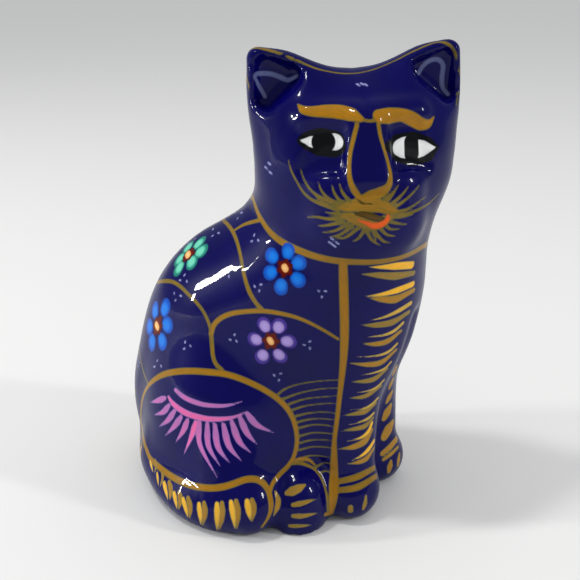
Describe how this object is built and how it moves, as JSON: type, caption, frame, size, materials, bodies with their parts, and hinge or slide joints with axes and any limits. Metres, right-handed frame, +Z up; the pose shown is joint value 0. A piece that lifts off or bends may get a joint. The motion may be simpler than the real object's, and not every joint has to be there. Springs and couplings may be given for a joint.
{
  "type": "cat figurine",
  "caption": "Seated glazed earthenware cat with its head turned aside and its tail wrapped round, painted with flowers, leaves and gold lines.",
  "frame": {"origin": "middle of the base, on the surface that the figurine stands on", "axes": "+Z up, the cat's body faces -Y, its right side and its tail's tip are towards -X"},
  "size_m": [0.0962, 0.1286, 0.1751],
  "materials": {
    "glaze": "gloss"
  },
  "bodies": {
    "root": {"cat": "glaze"}
  },
  "joints": []
}
